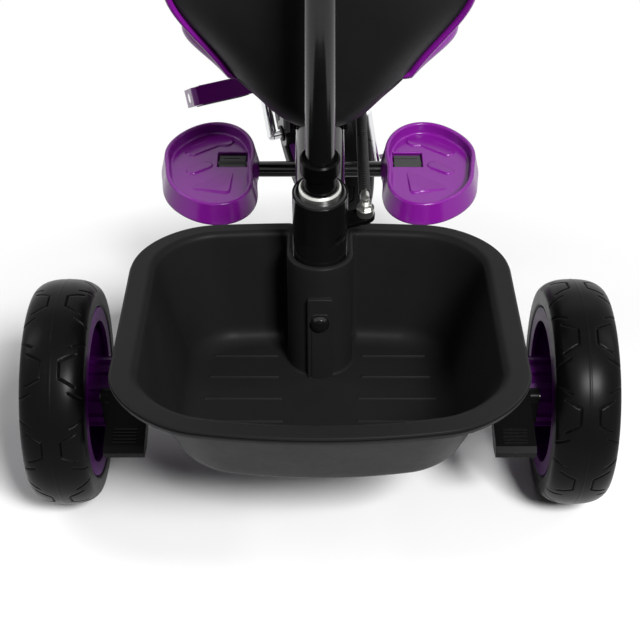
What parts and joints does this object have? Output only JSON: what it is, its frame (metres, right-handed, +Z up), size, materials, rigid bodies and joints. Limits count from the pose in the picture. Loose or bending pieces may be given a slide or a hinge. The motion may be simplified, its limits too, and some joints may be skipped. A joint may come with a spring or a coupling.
{
  "type": "toddler push-along trike",
  "caption": "Toddler trike with a parent push handle that steers the front wheel through a link rod, rear basket, padded seat, folding footrests and foot brakes.",
  "frame": {"origin": "point on the floor midway between the rear wheels, straight below the rear axle", "axes": "+X to the rider's right, +Y forward, +Z up"},
  "size_m": [0.5, 0.8159, 0.9668],
  "materials": {
    "gloss_black_paint": "gloss black powder coat",
    "steering_paint": "satin black paint",
    "matt_black_plastic": "fine moulded grain",
    "purple_plastic": "gloss moulded",
    "tyre_foam": "moulded foam tread",
    "zinc_plate": "zinc plate",
    "chrome_rod": "bright plate",
    "pad_cover": "woven cover over foam",
    "grip_foam": "closed cell foam",
    "sleeve_rubber": "ribbed sleeve"
  },
  "bodies": {
    "frame": {"frame": "gloss_black_paint", "rear_axle": "zinc_plate", "axle_plugs": "matt_black_plastic", "axle_spacers": "matt_black_plastic", "axle_nuts": "zinc_plate", "basket": "matt_black_plastic", "basket_screw": "gloss_black_paint", "post_cup": "gloss_black_paint", "post_race": "zinc_plate", "post_bush": "matt_black_plastic", "head_bushes": "matt_black_plastic", "seat_shell": "matt_black_plastic", "seat_trim": "purple_plastic", "seat_cushion": "pad_cover", "back_cushion": "pad_cover", "seat_bracket": "gloss_black_paint", "seat_bolts": "zinc_plate", "footrest_strut": "gloss_black_paint", "footrest_bar": "gloss_black_paint", "footrest_clips": "matt_black_plastic", "brake_housings": "matt_black_plastic", "brake_pins": "zinc_plate"},
    "rear_wheel_left": {"rear_tyre_left": "tyre_foam", "rear_rim_left": "purple_plastic", "rear_bush_left": "matt_black_plastic", "rear_cap_left": "purple_plastic"},
    "rear_wheel_right": {"rear_tyre_right": "tyre_foam", "rear_rim_right": "purple_plastic", "rear_bush_right": "matt_black_plastic", "rear_cap_right": "purple_plastic"},
    "brake_left": {"brake_pedal_left": "matt_black_plastic"},
    "brake_right": {"brake_pedal_right": "matt_black_plastic"},
    "fork": {"fork": "gloss_black_paint", "fork_nut": "zinc_plate", "fork_bushes": "matt_black_plastic", "arm_stud": "zinc_plate", "handlebar": "gloss_black_paint", "stem": "matt_black_plastic", "stem_bolts": "zinc_plate", "grip_left": "purple_plastic", "grip_right": "purple_plastic"},
    "front_wheel": {"front_tyre": "tyre_foam", "front_rim": "purple_plastic", "crank": "chrome_rod"},
    "pedal_left": {"pedal_left": "purple_plastic"},
    "pedal_right": {"pedal_right": "purple_plastic"},
    "push_handle": {"handle_tube": "gloss_black_paint", "handle_collar": "matt_black_plastic", "steering_lever": "steering_paint", "lever_bolt": "zinc_plate", "handle_tee": "matt_black_plastic", "handle_bar": "gloss_black_paint", "handle_grips": "grip_foam"},
    "link_rod": {"steering_rod": "zinc_plate", "rod_sleeve": "sleeve_rubber", "rod_ends": "zinc_plate"},
    "footrest_left": {"footrest_left": "purple_plastic"},
    "footrest_right": {"footrest_right": "purple_plastic"}
  },
  "joints": [
    {"name": "rear_left_spin", "type": "hinge", "parent": "frame", "child": "rear_wheel_left", "pos_m": [-0.223, 0, 0.1], "axis": [1, 0, 0], "continuous": true},
    {"name": "rear_right_spin", "type": "hinge", "parent": "frame", "child": "rear_wheel_right", "pos_m": [0.223, 0, 0.1], "axis": [1, 0, 0], "continuous": true},
    {"name": "brake_left_press", "type": "hinge", "parent": "frame", "child": "brake_left", "pos_m": [-0.1784, -0.038, 0.124], "axis": [1, 0, 0], "range_deg": [0, 12]},
    {"name": "brake_right_press", "type": "hinge", "parent": "frame", "child": "brake_right", "pos_m": [0.1784, -0.038, 0.124], "axis": [1, 0, 0], "range_deg": [0, 12]},
    {"name": "steer", "type": "hinge", "parent": "frame", "child": "fork", "pos_m": [0, 0.47, 0.12468], "axis": [0, -0.2079, 0.9781], "range_deg": [-48, 8]},
    {"name": "front_spin", "type": "hinge", "parent": "fork", "child": "front_wheel", "pos_m": [0, 0.47, 0.12468], "axis": [0.9397, 0.3345, 0.0711], "continuous": true},
    {"name": "pedal_left_spin", "type": "hinge", "parent": "front_wheel", "child": "pedal_left", "pos_m": [-0.0106, 0.48733, 0.18326], "axis": [0.9397, 0.3345, 0.0711], "continuous": true},
    {"name": "pedal_right_spin", "type": "hinge", "parent": "front_wheel", "child": "pedal_right", "pos_m": [0.0106, 0.45267, 0.06611], "axis": [0.9397, 0.3345, 0.0711], "continuous": true},
    {"name": "handle_turn", "type": "hinge", "parent": "frame", "child": "push_handle", "pos_m": [0, 0.027, 0.253], "axis": [0, -0.2079, 0.9781], "range_deg": [-48, 8]},
    {"name": "link_pivot", "type": "hinge", "parent": "push_handle", "child": "link_rod", "pos_m": [0.03853, 0.03905, 0.26374], "axis": [0, -0.2079, 0.9781], "range_deg": [-8, 48]},
    {"name": "footrest_left_fold", "type": "hinge", "parent": "frame", "child": "footrest_left", "pos_m": [0, 0.276, 0.173], "axis": [1, 0, 0], "range_deg": [0, 85]},
    {"name": "footrest_right_fold", "type": "hinge", "parent": "frame", "child": "footrest_right", "pos_m": [0, 0.276, 0.173], "axis": [1, 0, 0], "range_deg": [0, 85]}
  ],
  "couplings": [
    {"joint": "handle_turn", "follows": "steer", "ratio": 1},
    {"joint": "link_pivot", "follows": "steer", "ratio": -1}
  ]
}
